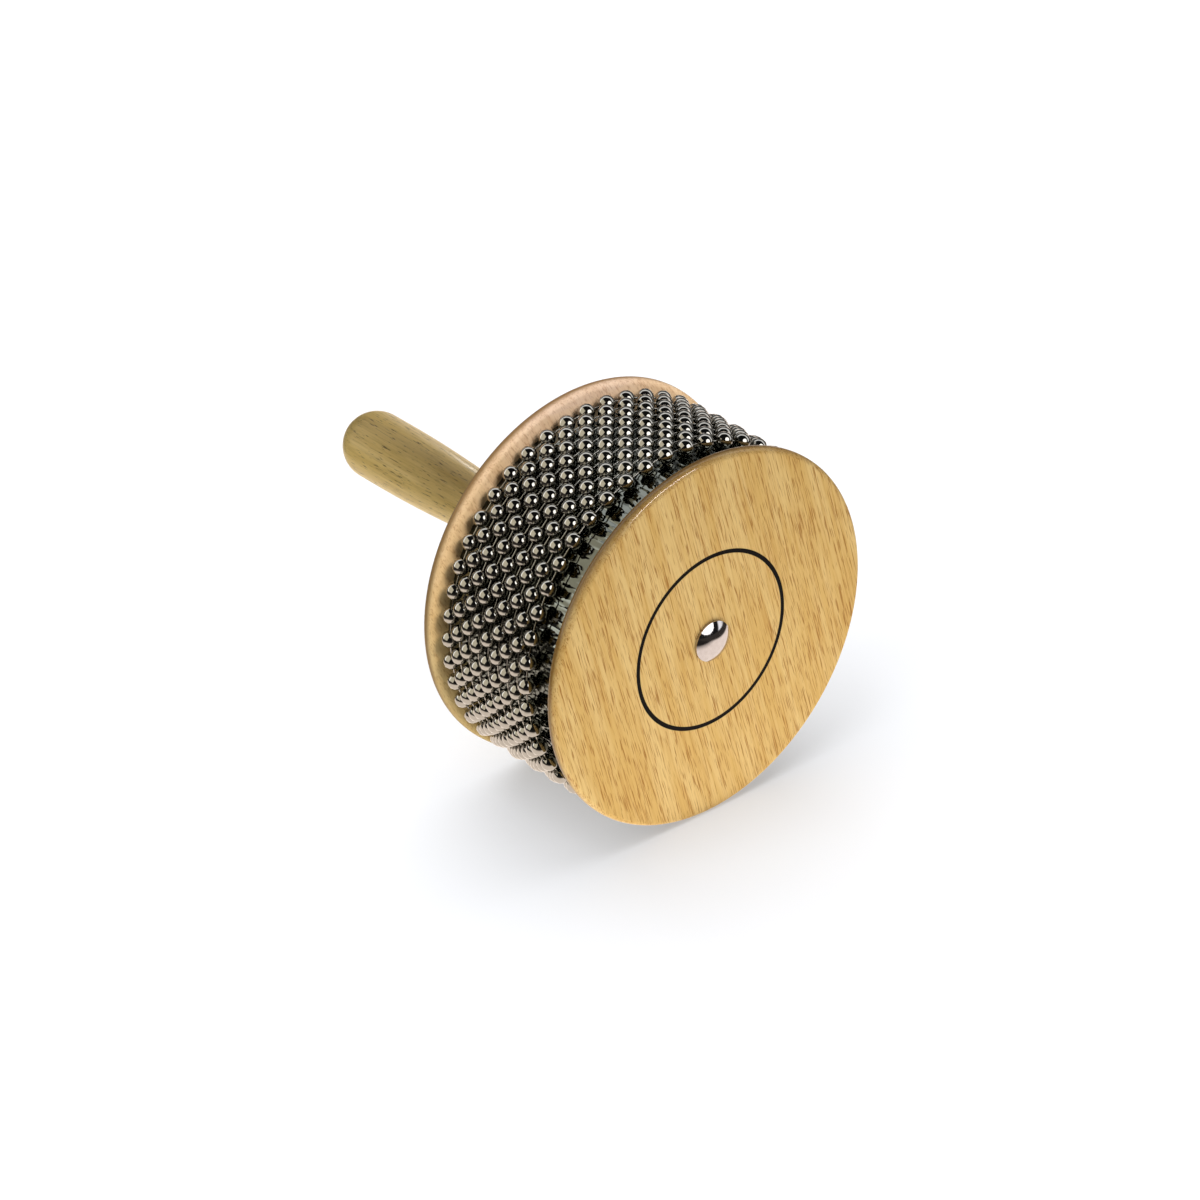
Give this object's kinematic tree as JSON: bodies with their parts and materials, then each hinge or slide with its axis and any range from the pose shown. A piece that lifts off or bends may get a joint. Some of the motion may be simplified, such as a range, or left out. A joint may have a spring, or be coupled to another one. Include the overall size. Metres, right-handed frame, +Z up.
{
  "type": "cabasa",
  "caption": "Hand percussion instrument: wooden drum wrapped in steel sheet, ringed by loops of ball chain that turn round it, on a turned wooden handle.",
  "frame": {"origin": "on the floor under the middle of the overall length, with the drum lying on its two discs", "axes": "+X along the drum's axis towards the bolt head, the handle towards -X, +Z up"},
  "size_m": [0.1974, 0.14, 0.14],
  "materials": {
    "front_wood": "satin lacquer",
    "rear_wood": "satin lacquer",
    "handle_wood": "satin lacquer",
    "core_wood": "raw",
    "sleeve_steel": "bright textured sheet",
    "bead_steel": "polished nickel plate",
    "bolt_plate": "bright zinc or nickel plate",
    "insert_brass": "as machined"
  },
  "bodies": {
    "drum": {"front_disc": "front_wood", "rear_disc": "rear_wood", "core_drum": "core_wood", "steel_sleeve": "sleeve_steel", "carriage_bolt": "bolt_plate", "threaded_insert": "insert_brass", "handle": "handle_wood"},
    "loop_1": {"bead_loop_1": "bead_steel"},
    "loop_2": {"bead_loop_2": "bead_steel"},
    "loop_3": {"bead_loop_3": "bead_steel"},
    "loop_4": {"bead_loop_4": "bead_steel"},
    "loop_5": {"bead_loop_5": "bead_steel"},
    "loop_6": {"bead_loop_6": "bead_steel"},
    "loop_7": {"bead_loop_7": "bead_steel"},
    "loop_8": {"bead_loop_8": "bead_steel"},
    "loop_9": {"bead_loop_9": "bead_steel"}
  },
  "joints": [
    {"name": "loop_1_turn", "type": "hinge", "parent": "drum", "child": "loop_1", "pos_m": [0, 0, 0.0695], "axis": [1, 0, 0], "continuous": true},
    {"name": "loop_2_turn", "type": "hinge", "parent": "drum", "child": "loop_2", "pos_m": [0, 0, 0.0695], "axis": [1, 0, 0], "continuous": true},
    {"name": "loop_3_turn", "type": "hinge", "parent": "drum", "child": "loop_3", "pos_m": [0, 0, 0.0695], "axis": [1, 0, 0], "continuous": true},
    {"name": "loop_4_turn", "type": "hinge", "parent": "drum", "child": "loop_4", "pos_m": [0, 0, 0.0695], "axis": [1, 0, 0], "continuous": true},
    {"name": "loop_5_turn", "type": "hinge", "parent": "drum", "child": "loop_5", "pos_m": [0, 0, 0.0695], "axis": [1, 0, 0], "continuous": true},
    {"name": "loop_6_turn", "type": "hinge", "parent": "drum", "child": "loop_6", "pos_m": [0, 0, 0.0695], "axis": [1, 0, 0], "continuous": true},
    {"name": "loop_7_turn", "type": "hinge", "parent": "drum", "child": "loop_7", "pos_m": [0, 0, 0.0695], "axis": [1, 0, 0], "continuous": true},
    {"name": "loop_8_turn", "type": "hinge", "parent": "drum", "child": "loop_8", "pos_m": [0, 0, 0.0695], "axis": [1, 0, 0], "continuous": true},
    {"name": "loop_9_turn", "type": "hinge", "parent": "drum", "child": "loop_9", "pos_m": [0, 0, 0.0695], "axis": [1, 0, 0], "continuous": true}
  ],
  "couplings": [
    {"joint": "loop_1_turn", "follows": "loop_5_turn", "ratio": 1},
    {"joint": "loop_2_turn", "follows": "loop_5_turn", "ratio": 1},
    {"joint": "loop_3_turn", "follows": "loop_5_turn", "ratio": 1},
    {"joint": "loop_4_turn", "follows": "loop_5_turn", "ratio": 1},
    {"joint": "loop_6_turn", "follows": "loop_5_turn", "ratio": 1},
    {"joint": "loop_7_turn", "follows": "loop_5_turn", "ratio": 1},
    {"joint": "loop_8_turn", "follows": "loop_5_turn", "ratio": 1},
    {"joint": "loop_9_turn", "follows": "loop_5_turn", "ratio": 1}
  ]
}
